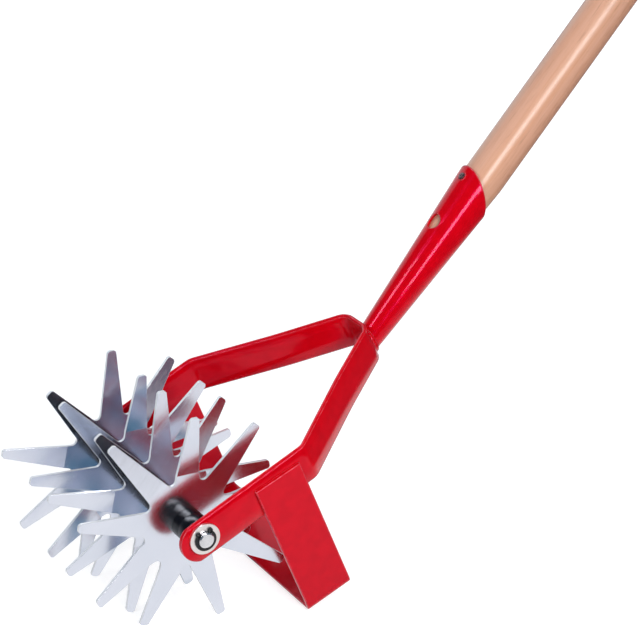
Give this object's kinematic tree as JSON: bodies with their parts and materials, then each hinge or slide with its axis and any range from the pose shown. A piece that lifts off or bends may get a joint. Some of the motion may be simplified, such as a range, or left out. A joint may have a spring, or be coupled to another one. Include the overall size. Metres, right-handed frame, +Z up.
{
  "type": "garden cultivator",
  "caption": "Long-handled cultivator: toothed star wheels spin on an axle in a forked yoke, ahead of a stirrup hoe band, on a wooden handle in a rolled socket.",
  "frame": {"origin": "on the ground under the middle of the tool in its working pose, the star wheels standing on two teeth each", "axes": "+X along the axle to the right, +Y backwards to the free end of the handle, +Z up"},
  "size_m": [0.1594, 1.0298, 1.0793],
  "materials": {
    "red_paint": "gloss enamel",
    "zinc_sheet": "bright zinc, finely brushed",
    "zinc_washer": "pale zinc",
    "bright_steel": "turned",
    "black_steel": "phosphated",
    "black_plastic": "moulded",
    "varnished_wood": "clear varnish"
  },
  "bodies": {
    "frame": {"yoke": "red_paint", "hoe_stirrup": "red_paint", "handle_socket": "red_paint", "socket_weld": "red_paint", "stirrup_weld_left": "red_paint", "stirrup_weld_right": "red_paint", "spacer_1": "black_plastic", "spacer_2": "black_plastic", "spacer_3": "black_plastic", "end_spacer_left": "black_plastic", "end_spacer_right": "black_plastic", "washer_left": "zinc_washer", "washer_right": "zinc_washer", "axle": "bright_steel", "socket_screw": "bright_steel", "circlip_left": "black_steel", "circlip_right": "black_steel", "handle": "varnished_wood"},
    "star_1": {"star_wheel_1": "zinc_sheet"},
    "star_2": {"star_wheel_2": "zinc_sheet"},
    "star_3": {"star_wheel_3": "zinc_sheet"},
    "star_4": {"star_wheel_4": "zinc_sheet"}
  },
  "joints": [
    {"name": "star_1_spin", "type": "hinge", "parent": "frame", "child": "star_1", "pos_m": [-0.0525, -0.44245, 0.06945], "axis": [1, 0, 0], "continuous": true},
    {"name": "star_2_spin", "type": "hinge", "parent": "frame", "child": "star_2", "pos_m": [-0.0175, -0.44245, 0.06945], "axis": [1, 0, 0], "continuous": true},
    {"name": "star_3_spin", "type": "hinge", "parent": "frame", "child": "star_3", "pos_m": [0.0175, -0.44245, 0.06945], "axis": [1, 0, 0], "continuous": true},
    {"name": "star_4_spin", "type": "hinge", "parent": "frame", "child": "star_4", "pos_m": [0.0525, -0.44245, 0.06945], "axis": [1, 0, 0], "continuous": true}
  ]
}
